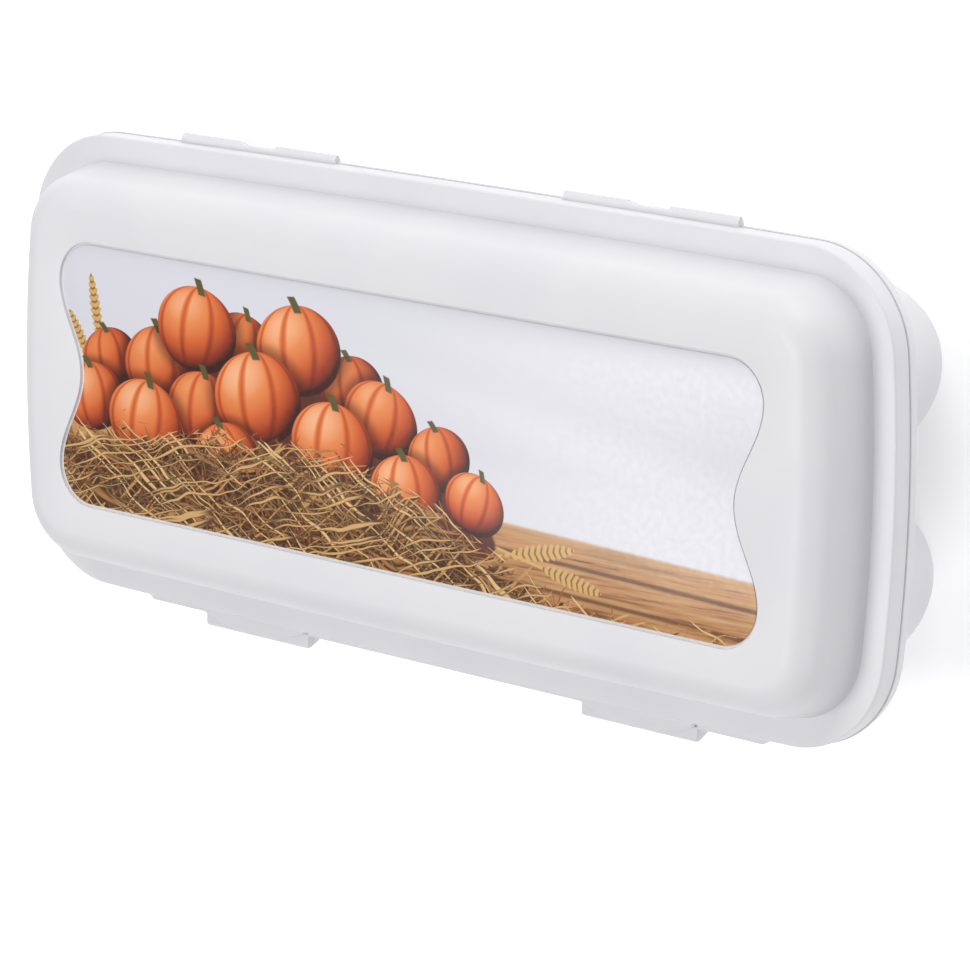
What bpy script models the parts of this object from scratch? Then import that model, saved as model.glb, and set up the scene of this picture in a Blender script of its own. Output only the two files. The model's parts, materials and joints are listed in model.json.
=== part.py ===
"""Egg storage container for ten eggs: a cup tray and a domed lid joined by two folding hinges.

The container lies on its cups. X runs along its length, +Y is the hinge side, -Y the latch side and +Z is up.
The floor is z = 0. All lengths are in metres.
"""
import math

import bmesh
import bpy

# General
wall = 0.0013
seat_gap = 0.0003
overrun = 0.002
weld_distance = 0.000002
screw_merge = 0.00002
round_profile = 0.5
smooth_angle = math.radians(30)
plastic_colour = (0.88, 0.88, 0.89, 1.0)
plastic_roughness = 0.35
label_colour = (0.76, 0.74, 0.83, 1.0)
label_roughness = 0.3

# Plan of the lid's rim, which everything else is inset from
rim_length = 0.266
rim_width = 0.116
rim_corner_radius = 0.0249
end_bow = 0.0044
side_bow = 0.0010
end_segments = 6
side_segments = 6
corner_segments = 7

# Egg cups
cups_long = 5
cups_wide = 2
deck_end_margin = 0.00925
deck_side_margin = 0.0085
cup_web = 0.0031
cup_foot_radius = 0.0040
cup_height = 0.0445
cup_roundness = 2.78
cup_rings = 8
cup_sides = 24
cup_mouth_radius = 0.0009
cell_corner_radius = 0.0180
cell_corner_segments = 6

# Tray rim
tray_bead_reach = 0.0003
tray_bead_height = 0.0008
tray_bead_step = 0.0006
tray_lip_height = 0.0032
rib_clearance = 0.0005
rib_width = 0.0012
rib_height = 0.0024
ledge_half_length = 0.0990
ledge_reach = 0.0025
ledge_height = 0.0020
ledge_end_slope = 0.0035

# Lid
skirt_height = 0.0052
rim_fillet = 0.0008
land_width = 0.0067
land_drop = 0.0012
dome_height = 0.0153
dome_wall_inset = 0.0021
dome_fillet = 0.0085
fillet_steps = 6
rim_fillet_steps = 2

# Label and its recess
label_end_margin = 0.0248
label_side_margin = 0.0244
label_waist = 0.0072
label_corner_radius = 0.0105
label_segments = 14
label_corner_segments = 5
recess_depth = 0.0007
label_thickness = 0.0003
label_margin = 0.0005

# Hinges
hinge_offset = 0.0600
hinge_half_length = 0.0251
hinge_tab_length = 0.0196
hinge_reach = 0.0013
hinge_web_reach = 0.0005
hinge_root_height = 0.0010
hinge_tip_height = 0.0004
hinge_slit = 0.0003
hinge_axis_clearance = 0.00015
hinge_notch_slope = 0.0012
hinge_bow = 0.00008
hinge_bow_segments = 4

# Latches
latch_offset = 0.0600
latch_half_length = 0.0170
latch_tab_reach = 0.0058
latch_tab_height = 0.0049
latch_tab_edge_height = 0.0014
latch_tab_draft = 0.0015
latch_corner = 0.0007
latch_corner_segments = 3
lip_half_length = 0.0168
lip_reach = 0.0050
lip_end_reach = 0.0030
lip_height = 0.0014
lip_segments = 10

# Places worked out from the sizes above
half_length = rim_length / 2
half_width = rim_width / 2
cup_pitch_x = (rim_length - 2 * deck_end_margin) / cups_long
cup_pitch_y = (rim_width - 2 * deck_side_margin) / cups_wide
cup_radius = (min(cup_pitch_x, cup_pitch_y) - cup_web) / 2
label_half_length = half_length - label_end_margin
label_half_width = half_width - label_side_margin
hinge_side_reach = half_width + tray_bead_reach + seat_gap + hinge_reach
latch_side_reach = half_width + latch_tab_reach
rim_centre_y = (latch_side_reach - hinge_side_reach) / 2
deck_bottom_z = cup_height
deck_top_z = deck_bottom_z + wall
lid_bottom_z = deck_top_z + seat_gap
ridge_z = lid_bottom_z + skirt_height
dome_top_z = ridge_z + dome_height
hinge_axis_z = deck_top_z + seat_gap / 2
hinge_root_y = rim_centre_y + half_width + tray_bead_reach + seat_gap
hinge_tip_y = hinge_root_y + hinge_reach
hinge_axis_y = hinge_tip_y + hinge_axis_clearance
latch_face_y = rim_centre_y - half_width


def clear_scene():
    """Remove what the open file holds."""
    for item in list(bpy.data.objects):
        bpy.data.objects.remove(item, do_unlink=True)


def make_collection(name):
    """Return a new collection linked to the scene."""
    collection = bpy.data.collections.new(name)
    bpy.context.scene.collection.children.link(collection)
    return collection


def make_material(name, colour, roughness):
    """Return a plastic with the given colour and roughness."""
    material = bpy.data.materials.new(name)
    material.use_nodes = True
    shader = material.node_tree.nodes["Principled BSDF"]
    shader.inputs["Base Color"].default_value = colour
    shader.inputs["Roughness"].default_value = roughness
    shader.inputs["Metallic"].default_value = 0.0
    material.diffuse_color = colour
    return material


def add_object(name, mesh, collection, material=None):
    """Wrap a mesh in an object of the given collection."""
    item = bpy.data.objects.new(name, mesh)
    collection.objects.link(item)
    if material is not None:
        mesh.materials.append(material)
    return item


def mesh_from_bmesh(name, bm, closed=True):
    """Write a bmesh to a new mesh, the faces of a closed one turned outwards."""
    if closed:
        bmesh.ops.recalc_face_normals(bm, faces=bm.faces)
    mesh = bpy.data.meshes.new(name)
    bm.to_mesh(mesh)
    bm.free()
    return mesh


def hide_cutter(item):
    """Show a cutter as wires only."""
    item.display_type = "WIRE"
    item.hide_render = True


def add_boolean(item, tool, operation):
    """Cut or join a tool object into an item."""
    modifier = item.modifiers.new(tool.name, "BOOLEAN")
    modifier.operation = operation
    modifier.solver = "EXACT"
    modifier.object = tool


def shade(item, angle):
    """Shade an item smooth up to the given edge angle."""
    mesh = item.data
    mesh.shade_smooth()
    mesh.set_sharp_from_angle(angle=angle)


def bow_radius(half_chord, bow):
    """Radius of an arc that rises by bow over a chord."""
    return (half_chord ** 2 + bow ** 2) / (2 * bow)


def arc(centre, radius, start, end, segments):
    """Points of an arc, its last point left out."""
    step = (end - start) / segments
    return [(centre[0] + radius * math.cos(start + step * i), centre[1] + radius * math.sin(start + step * i))
            for i in range(segments)]


def rim_corner():
    """Return where the corner arc of the first quadrant lies, and the angles at its two ends."""
    end_radius = bow_radius(half_width, end_bow)
    side_radius = bow_radius(half_length, side_bow)
    end_centre = (half_length - end_radius, 0.0)
    side_centre = (0.0, half_width - side_radius)
    reach_end = end_radius - rim_corner_radius
    reach_side = side_radius - rim_corner_radius
    across = (side_centre[0] - end_centre[0], side_centre[1] - end_centre[1])
    distance = math.hypot(*across)
    along = (reach_end ** 2 - reach_side ** 2 + distance ** 2) / (2 * distance)
    off = math.sqrt(reach_end ** 2 - along ** 2)
    unit = (across[0] / distance, across[1] / distance)
    centre_x = end_centre[0] + unit[0] * along - unit[1] * off
    centre_y = end_centre[1] + unit[1] * along + unit[0] * off
    centre = (centre_x, centre_y)
    first = math.atan2(centre_y - end_centre[1], centre_x - end_centre[0])
    last = math.atan2(centre_y - side_centre[1], centre_x - side_centre[0])
    return end_centre, end_radius, side_centre, side_radius, centre, first, last


def rim_outline(inset):
    """Points of the rim's plan, counter-clockwise, inset by a distance."""
    end_centre, end_radius, side_centre, side_radius, corner, first, last = rim_corner()
    quarter = arc(end_centre, end_radius - inset, 0.0, first, end_segments)
    quarter += arc(corner, rim_corner_radius - inset, first, last, corner_segments)
    quarter += arc(side_centre, side_radius - inset, last, math.pi / 2, side_segments)
    top = (0.0, half_width - inset)
    right = quarter[0]
    rest = quarter[1:]
    first_half = [right] + rest + [top] + [(-x, y) for x, y in reversed(rest)]
    second_half = [(-x, -y) for x, y in first_half]
    return [(x, y + rim_centre_y) for x, y in first_half + second_half]


def label_outline(inset):
    """Points of the label: wavy ends drawn in at the waist, with rounded corners, counter-clockwise."""
    length = label_half_length - inset
    width = label_half_width - inset
    radius = label_corner_radius - inset
    corner = (length - radius, width - radius)
    quarter = []
    for i in range(label_segments):
        share = i / label_segments
        pull = label_waist * (1 + math.cos(math.pi * share)) / 2
        quarter.append((length - pull, corner[1] * share))
    quarter += arc(corner, radius, 0.0, math.pi / 2, label_corner_segments)
    quarter.append((corner[0], width))
    rest = quarter[1:]
    first_half = [quarter[0]] + rest + [(-x, y) for x, y in reversed(rest)]
    second_half = [(-x, -y) for x, y in first_half]
    return [(x, y + rim_centre_y) for x, y in first_half + second_half]


def prism(name, points, axis, low, high, collection):
    """Make a mesh object from a flat outline, as a filled 2D curve drawn out along X or Z."""
    curve = bpy.data.curves.new(name, "CURVE")
    curve.dimensions = "2D"
    curve.fill_mode = "BOTH"
    curve.extrude = (high - low) / 2
    spline = curve.splines.new("POLY")
    spline.points.add(len(points) - 1)
    for target, point in zip(spline.points, points):
        target.co = (point[0], point[1], 0.0, 1.0)
    spline.use_cyclic_u = True
    drawn = bpy.data.objects.new(name, curve)
    collection.objects.link(drawn)
    middle = (low + high) / 2
    if axis == "Z":
        drawn.location = (0.0, 0.0, middle)
    else:
        drawn.location = (middle, 0.0, 0.0)
        drawn.rotation_euler = (math.pi / 2, 0.0, math.pi / 2)
    bpy.context.view_layer.update()
    depsgraph = bpy.context.evaluated_depsgraph_get()
    mesh = bpy.data.meshes.new_from_object(drawn.evaluated_get(depsgraph))
    mesh.transform(drawn.matrix_world)
    bpy.data.objects.remove(drawn, do_unlink=True)
    bm = bmesh.new()
    bm.from_mesh(mesh)
    bmesh.ops.remove_doubles(bm, verts=bm.verts, dist=weld_distance)
    bpy.data.meshes.remove(mesh)
    item = bpy.data.objects.new(name, mesh_from_bmesh(name, bm))
    collection.objects.link(item)
    return item


def grow_rings(bm, face, rings):
    """Inset a face step by step, each step with its own inset and rise."""
    for inset, rise in rings:
        bmesh.ops.inset_region(bm, faces=[face], thickness=inset, depth=rise, use_boundary=True,
                               use_even_offset=True)


def fillet_rings(radius_in, radius_up, start, steps):
    """Insets and rises of a quarter arc that starts at an angle from upright and ends flat."""
    angles = [start + (math.pi / 2 - start) * i / steps for i in range(steps + 1)]
    rings = []
    for first, last in zip(angles, angles[1:]):
        inset = radius_in * (math.cos(first) - math.cos(last))
        rise = radius_up * (math.sin(last) - math.sin(first))
        rings.append((inset, rise))
    return rings


def outline_face(bm, points, z):
    """Add one flat face from an outline."""
    face = bm.faces.new([bm.verts.new((x, y, z)) for x, y in points])
    face.normal_update()
    return face


def make_lid(parts, cutters, material):
    """Domed lid: skirt, land, dome and label recess in one shell, with two thumb lips."""
    bm = bmesh.new()
    top = outline_face(bm, rim_outline(0.0), lid_bottom_z)
    wall_angle = math.atan2(dome_wall_inset, dome_height + land_drop - dome_fillet)
    flat_rise = dome_fillet * (1 - math.sin(wall_angle))
    wall_rise = dome_height + land_drop - flat_rise
    grow_rings(bm, top, [(0.0, skirt_height - rim_fillet)])
    grow_rings(bm, top, fillet_rings(rim_fillet, rim_fillet, 0.0, rim_fillet_steps))
    grow_rings(bm, top, [(land_width - rim_fillet, -land_drop)])
    grow_rings(bm, top, [(dome_wall_inset, wall_rise)])
    grow_rings(bm, top, fillet_rings(dome_fillet, dome_fillet, wall_angle, fillet_steps))
    lid = add_object("lid", mesh_from_bmesh("lid", bm, closed=False), parts, material)
    shell = lid.modifiers.new("shell", "SOLIDIFY")
    shell.thickness = wall
    shell.offset = -1.0
    shell.use_even_offset = True
    floor_z = dome_top_z - recess_depth
    recess = prism("label_recess", label_outline(0.0), "Z", floor_z, dome_top_z + overrun, cutters)
    hide_cutter(recess)
    add_boolean(lid, recess, "DIFFERENCE")
    for side in (-1, 1):
        lip = make_thumb_lip(side, cutters)
        add_boolean(lid, lip, "UNION")
    shade(lid, smooth_angle)
    return lid


def make_thumb_lip(side, cutters):
    """Crescent that the thumb lifts, on the lid's latch side."""
    root_y = latch_face_y + wall / 2
    rise = lip_reach - lip_end_reach
    radius = bow_radius(lip_half_length, rise)
    half_angle = math.asin(lip_half_length / radius)
    centre = (side * latch_offset, latch_face_y - lip_reach + radius)
    start = -math.pi / 2 - half_angle
    points = arc(centre, radius, start, start + 2 * half_angle, lip_segments)
    points.append((centre[0] + lip_half_length, latch_face_y - lip_end_reach))
    points.append((centre[0] + lip_half_length, root_y))
    points.append((centre[0] - lip_half_length, root_y))
    name = "thumb_lip_" + ("left" if side < 0 else "right")
    lip = prism(name, points, "Z", lid_bottom_z, lid_bottom_z + lip_height, cutters)
    hide_cutter(lip)
    return lip


def make_tray_rim(parts, cutters, material):
    """Rim of the tray: a beaded margin, a turned-down lip, a rib, the front ledge and two latch tabs."""
    bm = bmesh.new()
    top = outline_face(bm, rim_outline(-tray_bead_reach), deck_top_z)
    rib_outer = wall + rib_clearance
    grow_rings(bm, top, [(rib_outer + tray_bead_reach, 0.0)])
    grow_rings(bm, top, [(0.0, rib_height), (rib_width, 0.0), (0.0, -rib_height)])
    bm.verts.ensure_lookup_table()
    edge = [e for e in bm.edges if e.is_boundary]
    bead = bmesh.ops.extrude_edge_only(bm, edges=edge)["geom"]
    bead_verts = [v for v in bead if isinstance(v, bmesh.types.BMVert)]
    bmesh.ops.translate(bm, verts=bead_verts, vec=(0.0, 0.0, -tray_bead_height))
    bead_edges = [e for e in bm.edges if e.is_boundary]
    bottom = bmesh.ops.contextual_create(bm, geom=bead_edges)["faces"][0]
    bmesh.ops.recalc_face_normals(bm, faces=bm.faces)
    grow_rings(bm, bottom, [(tray_bead_step, 0.0), (0.0, tray_lip_height - tray_bead_height)])
    grow_rings(bm, bottom, [(wall, 0.0), (0.0, -(tray_lip_height - wall))])
    rim = add_object("tray_rim", mesh_from_bmesh("tray_rim", bm), parts, material)
    opening = make_cell_block(cutters)
    hide_cutter(opening)
    add_boolean(rim, opening, "DIFFERENCE")
    ledge = make_front_ledge(cutters)
    add_boolean(rim, ledge, "UNION")
    for side in (-1, 1):
        tab = make_latch_tab(side, cutters)
        add_boolean(rim, tab, "UNION")
    shade(rim, smooth_angle)
    return rim


def make_cell_block(collection):
    """Rounded block that the ten cells fill."""
    bm = bmesh.new()
    bmesh.ops.create_cube(bm, size=1.0)
    length = cups_long * cup_pitch_x
    width = cups_wide * cup_pitch_y
    height = wall + 2 * overrun
    bmesh.ops.scale(bm, verts=bm.verts, vec=(length, width, height))
    bmesh.ops.translate(bm, verts=bm.verts, vec=(0.0, rim_centre_y, deck_bottom_z + wall / 2))
    upright = [e for e in bm.edges if abs(e.verts[0].co.z - e.verts[1].co.z) > wall]
    bmesh.ops.bevel(bm, geom=upright, offset=cell_corner_radius, segments=cell_corner_segments,
                    profile=round_profile, affect="EDGES")
    name = "cell_opening"
    return add_object(name, mesh_from_bmesh(name, bm), collection)


def make_front_ledge(cutters):
    """Shallow ledge along the tray's latch side, its ends sloped."""
    root_y = latch_face_y + wall
    face_y = latch_face_y - ledge_reach
    long_half = ledge_half_length
    short_half = ledge_half_length - ledge_end_slope
    points = [(-long_half, root_y), (-long_half, latch_face_y), (-short_half, face_y), (short_half, face_y),
              (long_half, latch_face_y), (long_half, root_y)]
    ledge = prism("front_ledge", points, "Z", deck_top_z - ledge_height, deck_top_z, cutters)
    hide_cutter(ledge)
    return ledge


def make_latch_tab(side, cutters):
    """Tab under a thumb lip, deep at its root and drawn in below its edge."""
    root_y = latch_face_y + wall
    tip_y = latch_face_y - latch_tab_reach
    low_z = deck_top_z - latch_tab_height
    edge_z = deck_top_z - latch_tab_edge_height
    points = [(root_y, deck_top_z), (tip_y, deck_top_z), (tip_y, edge_z), (tip_y + latch_tab_draft, low_z),
              (root_y, low_z)]
    centre_x = side * latch_offset
    name = "latch_tab_" + ("left" if side < 0 else "right")
    tab = prism(name, points, "X", centre_x - latch_half_length, centre_x + latch_half_length, cutters)
    bm = bmesh.new()
    bm.from_mesh(tab.data)
    corners = [e for e in bm.edges if all(v.co.y < latch_face_y - latch_tab_reach / 2 for v in e.verts)
               and abs(e.verts[0].co.x - e.verts[1].co.x) < latch_corner]
    bmesh.ops.bevel(bm, geom=corners, offset=latch_corner, segments=latch_corner_segments,
                    profile=round_profile, affect="EDGES")
    bm.to_mesh(tab.data)
    bm.free()
    hide_cutter(tab)
    return tab


def cup_profile(inset, mouth):
    """Radius and height of a cup's wall from its mouth down, then in to the middle of its foot."""
    points = []
    depth = cup_height - inset
    flare = cup_radius - cup_foot_radius
    for i in range(cup_rings + 1):
        share = math.sin(math.pi / 2 * i / cup_rings)
        radius = cup_foot_radius + flare * math.sqrt(max(0.0, 1 - share ** cup_roundness))
        points.append((radius - inset, cup_height - depth * share))
    return mouth + points + [(0.0, inset)]


def turned_solid(name, profile, collection):
    """Solid turned from a closed-on-axis profile with a Screw modifier."""
    mesh = bpy.data.meshes.new(name)
    points = [(x, 0.0, z) for x, z in profile]
    mesh.from_pydata(points, [(i, i + 1) for i in range(len(points) - 1)], [])
    item = bpy.data.objects.new(name, mesh)
    collection.objects.link(item)
    screw = item.modifiers.new("turn", "SCREW")
    screw.steps = cup_sides
    screw.render_steps = cup_sides
    screw.use_merge_vertices = True
    screw.merge_threshold = screw_merge
    return item


def make_cups(parts, cutters, material):
    """Ten egg cups, each with its own square of the deck."""
    deck_share = [(0.0, deck_top_z - wall / 2), (cup_radius, deck_top_z - wall / 2)]
    outer = turned_solid("cup_outer", cup_profile(0.0, deck_share), cutters)
    flare = [(0.0, deck_top_z + overrun), (cup_radius - wall + cup_mouth_radius, deck_top_z + overrun),
             (cup_radius - wall + cup_mouth_radius, deck_top_z),
             (cup_radius - wall, deck_top_z - cup_mouth_radius)]
    inner = turned_solid("cup_inner", cup_profile(wall, flare), cutters)
    hide_cutter(outer)
    hide_cutter(inner)
    cups = []
    for row in range(cups_wide):
        for column in range(cups_long):
            x = (column - (cups_long - 1) / 2) * cup_pitch_x
            y = (row - (cups_wide - 1) / 2) * cup_pitch_y
            number = row * cups_long + column + 1
            cups.append(make_cup(f"egg_cup_{number:02d}", x, y, outer, inner, parts, material))
    return cups


def make_cup(name, x, y, outer, inner, parts, material):
    """One cup and its cell of the deck, in place."""
    bm = bmesh.new()
    bmesh.ops.create_cube(bm, size=1.0)
    bmesh.ops.scale(bm, verts=bm.verts, vec=(cup_pitch_x - seat_gap, cup_pitch_y - seat_gap, wall))
    bmesh.ops.translate(bm, verts=bm.verts, vec=(0.0, 0.0, deck_bottom_z + wall / 2))
    if abs(x) > (cups_long - 2) / 2 * cup_pitch_x:
        corner = [e for e in bm.edges if abs(e.verts[0].co.z - e.verts[1].co.z) > wall / 2
                  and e.verts[0].co.x * x > 0 and e.verts[0].co.y * y > 0]
        bmesh.ops.bevel(bm, geom=corner, offset=cell_corner_radius, segments=cell_corner_segments,
                        profile=round_profile, affect="EDGES")
    cup = add_object(name, mesh_from_bmesh(name, bm), parts, material)
    add_boolean(cup, outer, "UNION")
    add_boolean(cup, inner, "DIFFERENCE")
    bpy.context.view_layer.update()
    depsgraph = bpy.context.evaluated_depsgraph_get()
    cut = bpy.data.meshes.new_from_object(cup.evaluated_get(depsgraph))
    cup.modifiers.clear()
    plain = cup.data
    cup.data = cut
    cut.name = name
    bpy.data.meshes.remove(plain)
    cup.location = (x, y + rim_centre_y, 0.0)
    shade(cup, smooth_angle)
    return cup


def leaf_section(up):
    """Section of a hinge leaf, a wedge with a bowed back: up is 1 on the lid and -1 on the tray."""
    slit = hinge_slit / 2
    points = [(hinge_root_y, hinge_axis_z + up * slit), (hinge_tip_y, hinge_axis_z + up * slit)]
    for i in range(hinge_bow_segments + 1):
        share = i / hinge_bow_segments
        bow = hinge_bow * math.sin(math.pi * share)
        y = hinge_tip_y - hinge_reach * share
        z = hinge_tip_height + (hinge_root_height - hinge_tip_height) * share
        points.append((y, hinge_axis_z + up * (z + bow)))
    return points


def make_hinge_leaf(name, side, up, parts, cutters, material):
    """One leaf of a folding hinge: two tall tabs with a low web between them."""
    centre_x = side * hinge_offset
    start_x = centre_x - hinge_half_length
    end_x = centre_x + hinge_half_length
    leaf = prism(name, leaf_section(up), "X", start_x, end_x, parts)
    leaf.data.materials.append(material)
    low_x = start_x + hinge_tab_length
    high_x = end_x - hinge_tab_length
    notch_y = hinge_root_y + hinge_web_reach
    far_y = hinge_tip_y + overrun
    slope = hinge_notch_slope * (far_y - notch_y) / (hinge_tip_y - notch_y)
    points = [(low_x + hinge_notch_slope, notch_y), (high_x, notch_y), (high_x, far_y),
              (low_x + hinge_notch_slope - slope, far_y)]
    reach = hinge_root_height + overrun
    notch = prism(name + "_notch", points, "Z", hinge_axis_z - reach, hinge_axis_z + reach, cutters)
    hide_cutter(notch)
    add_boolean(leaf, notch, "DIFFERENCE")
    shade(leaf, smooth_angle)
    return leaf


def make_label(parts, material):
    """Thin printed label lying in the lid's recess."""
    low = dome_top_z - recess_depth + seat_gap
    label = prism("label", label_outline(label_margin), "Z", low, low + label_thickness, parts)
    label.data.materials.append(material)
    return label


def parent_to(child, empty):
    """Parent an item to an empty and leave it where it is."""
    child.parent = empty
    child.matrix_parent_inverse = empty.matrix_world.inverted()


def main():
    """Build the container."""
    clear_scene()
    parts = make_collection("egg_container")
    cutters = make_collection("cutters")
    lid_plastic = make_material("lid_plastic", plastic_colour, plastic_roughness)
    tray_plastic = make_material("tray_plastic", plastic_colour, plastic_roughness)
    label_film = make_material("label_film", label_colour, label_roughness)
    make_tray_rim(parts, cutters, tray_plastic)
    make_cups(parts, cutters, tray_plastic)
    lid = make_lid(parts, cutters, lid_plastic)
    label = make_label(parts, label_film)
    moving = [lid, label]
    for side, word in ((-1, "left"), (1, "right")):
        make_hinge_leaf("tray_hinge_leaf_" + word, side, -1, parts, cutters, tray_plastic)
        moving.append(make_hinge_leaf("lid_hinge_leaf_" + word, side, 1, parts, cutters, lid_plastic))
    axis = bpy.data.objects.new("lid_hinge_axis", None)
    axis.location = (0.0, hinge_axis_y, hinge_axis_z)
    parts.objects.link(axis)
    bpy.context.view_layer.update()
    for item in moving:
        parent_to(item, axis)


main()
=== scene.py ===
"""Dresses the egg storage container: one smooth tray, a domed lid, folding hinges and a printed label.

The container lies on its cups. X runs along its length, +Y is the hinge side, -Y the latch side and +Z is up.
All lengths are in metres unless a name says millimetres.
"""

import json
import logging
import math
from dataclasses import dataclass, field
from enum import Enum
from typing import Callable, Sequence, Union

import bpy
from mathutils import Matrix, Vector

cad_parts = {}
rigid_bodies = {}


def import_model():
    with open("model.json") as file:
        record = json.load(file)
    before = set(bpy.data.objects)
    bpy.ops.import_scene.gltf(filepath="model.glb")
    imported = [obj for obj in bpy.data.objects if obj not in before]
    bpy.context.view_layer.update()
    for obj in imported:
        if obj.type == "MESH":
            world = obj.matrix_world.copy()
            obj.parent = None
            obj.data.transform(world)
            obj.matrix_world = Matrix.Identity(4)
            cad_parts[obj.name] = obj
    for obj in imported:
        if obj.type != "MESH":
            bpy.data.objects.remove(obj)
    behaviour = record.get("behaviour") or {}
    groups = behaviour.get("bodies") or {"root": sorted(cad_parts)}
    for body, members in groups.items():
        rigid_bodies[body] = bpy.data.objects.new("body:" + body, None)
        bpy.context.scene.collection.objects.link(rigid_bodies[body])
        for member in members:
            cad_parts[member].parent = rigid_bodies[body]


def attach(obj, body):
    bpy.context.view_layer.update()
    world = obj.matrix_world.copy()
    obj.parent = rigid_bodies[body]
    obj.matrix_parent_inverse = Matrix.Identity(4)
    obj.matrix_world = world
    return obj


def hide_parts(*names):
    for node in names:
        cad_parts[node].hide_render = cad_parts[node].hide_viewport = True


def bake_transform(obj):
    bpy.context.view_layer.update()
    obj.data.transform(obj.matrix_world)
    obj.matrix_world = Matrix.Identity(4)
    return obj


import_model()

log = logging.getLogger("egg_container")

Point = tuple[float, float]
Place = tuple[float, float, float]
Colour = tuple[float, float, float, float]
Value = Union[bpy.types.NodeSocket, float, Place, Colour]

smooth_angle = math.radians(32)
weld_distance = 0.000004
plastic_ior = 1.49


class Body(Enum):
    """The two bodies that the pieces ride on."""

    TRAY = "tray"
    LID = "lid"


class Side(Enum):
    """Left and right of the middle of the container, seen from the latch side."""

    LEFT = -1
    RIGHT = 1

    @property
    def word(self) -> str:
        """Return the word used in the names of pieces."""
        return self.name.lower()


class Finish(Enum):
    """Material slots of the record."""

    TRAY = "tray_plastic"
    LID = "lid_plastic"
    LABEL = "label_film"


def bow_radius(half_chord: float, bow: float) -> float:
    """Find the radius of an arc that rises over a chord.

    Args:
        half_chord: Half the chord's length.
        bow: Rise of the arc over the chord.

    Returns:
        The arc's radius.
    """
    return (half_chord ** 2 + bow ** 2) / (2 * bow)


def arc(centre: Point, radius: float, start: float, end: float, segments: int) -> list[Point]:
    """Lay points along an arc.

    Args:
        centre: Middle of the arc.
        radius: Radius of the arc.
        start: Angle of the first point.
        end: Angle where the arc ends.
        segments: How many steps the arc has.

    Returns:
        The points, the last one left out.
    """
    step = (end - start) / segments
    return [(centre[0] + radius * math.cos(start + step * i), centre[1] + radius * math.sin(start + step * i))
            for i in range(segments)]


def mirrored(quarter: Sequence[Point], top: Point, centre_y: float) -> list[Point]:
    """Complete an outline from its first quarter.

    Args:
        quarter: Points from the +X end towards the top, the first on the X axis.
        top: Point on the Y axis.
        centre_y: Where the outline's middle lies.

    Returns:
        The whole outline, counter-clockwise.
    """
    rest = list(quarter[1:])
    half = [quarter[0]] + rest + [top] + [(-x, y) for x, y in reversed(rest)]
    return [(x, y + centre_y) for x, y in half + [(-x, -y) for x, y in half]]


@dataclass(frozen=True)
class RimPlan:
    """Plan of the rim: bowed sides and ends that run into round corners."""

    length: float = 0.266
    width: float = 0.116
    corner_radius: float = 0.0249
    end_bow: float = 0.0044
    side_bow: float = 0.0010
    centre_y: float = 0.00195
    end_segments: int = 16
    side_segments: int = 18
    corner_segments: int = 20

    def outline(self, inset: float) -> list[Point]:
        """Draw the rim's outline.

        Args:
            inset: Distance inside the rim's edge.

        Returns:
            The outline's points, counter-clockwise.
        """
        half_length = self.length / 2
        half_width = self.width / 2
        end_radius = bow_radius(half_width, self.end_bow)
        side_radius = bow_radius(half_length, self.side_bow)
        end_centre = (half_length - end_radius, 0.0)
        side_centre = (0.0, half_width - side_radius)
        reach_end = end_radius - self.corner_radius
        reach_side = side_radius - self.corner_radius
        across = (side_centre[0] - end_centre[0], side_centre[1] - end_centre[1])
        distance = math.hypot(*across)
        along = (reach_end ** 2 - reach_side ** 2 + distance ** 2) / (2 * distance)
        off = math.sqrt(reach_end ** 2 - along ** 2)
        unit = (across[0] / distance, across[1] / distance)
        corner = (end_centre[0] + unit[0] * along - unit[1] * off,
                  end_centre[1] + unit[1] * along + unit[0] * off)
        first = math.atan2(corner[1] - end_centre[1], corner[0] - end_centre[0])
        last = math.atan2(corner[1] - side_centre[1], corner[0] - side_centre[0])
        quarter = arc(end_centre, end_radius - inset, 0.0, first, self.end_segments)
        quarter += arc(corner, self.corner_radius - inset, first, last, self.corner_segments)
        quarter += arc(side_centre, side_radius - inset, last, math.pi / 2, self.side_segments)
        return mirrored(quarter, (0.0, half_width - inset), self.centre_y)


@dataclass(frozen=True)
class LabelPlan:
    """Plan of the label: straight sides, round corners and wavy ends drawn in at the waist."""

    half_length: float = 0.1082
    half_width: float = 0.0336
    waist: float = 0.0072
    corner_radius: float = 0.0105
    centre_y: float = 0.00195
    end_segments: int = 28
    corner_segments: int = 12

    def outline(self, inset: float) -> list[Point]:
        """Draw the label's outline.

        Args:
            inset: Distance inside the edge of the label's recess.

        Returns:
            The outline's points, counter-clockwise.
        """
        length = self.half_length - inset
        width = self.half_width - inset
        radius = self.corner_radius - inset
        corner = (length - radius, width - radius)
        quarter = []
        for i in range(self.end_segments):
            share = i / self.end_segments
            pull = self.waist * (1 + math.cos(math.pi * share)) / 2
            quarter.append((length - pull, corner[1] * share))
        quarter += arc(corner, radius, 0.0, math.pi / 2, self.corner_segments)
        quarter.append((corner[0], width))
        return mirrored(quarter, (0.0, width), self.centre_y)


@dataclass(frozen=True)
class Heights:
    """Levels that the pieces share."""

    wall: float = 0.0013
    seat_gap: float = 0.0003
    cup_height: float = 0.0445
    skirt: float = 0.0052
    dome: float = 0.0153

    @property
    def deck_top(self) -> float:
        """Return the level of the tray's deck."""
        return self.cup_height + self.wall

    @property
    def lid_bottom(self) -> float:
        """Return the level of the lid's lower edge."""
        return self.deck_top + self.seat_gap

    @property
    def ridge(self) -> float:
        """Return the level of the rim's ridge."""
        return self.lid_bottom + self.skirt

    @property
    def dome_top(self) -> float:
        """Return the level of the lid's flat front."""
        return self.ridge + self.dome

    @property
    def fold(self) -> float:
        """Return the level of the hinges' fold."""
        return self.deck_top + self.seat_gap / 2


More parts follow.
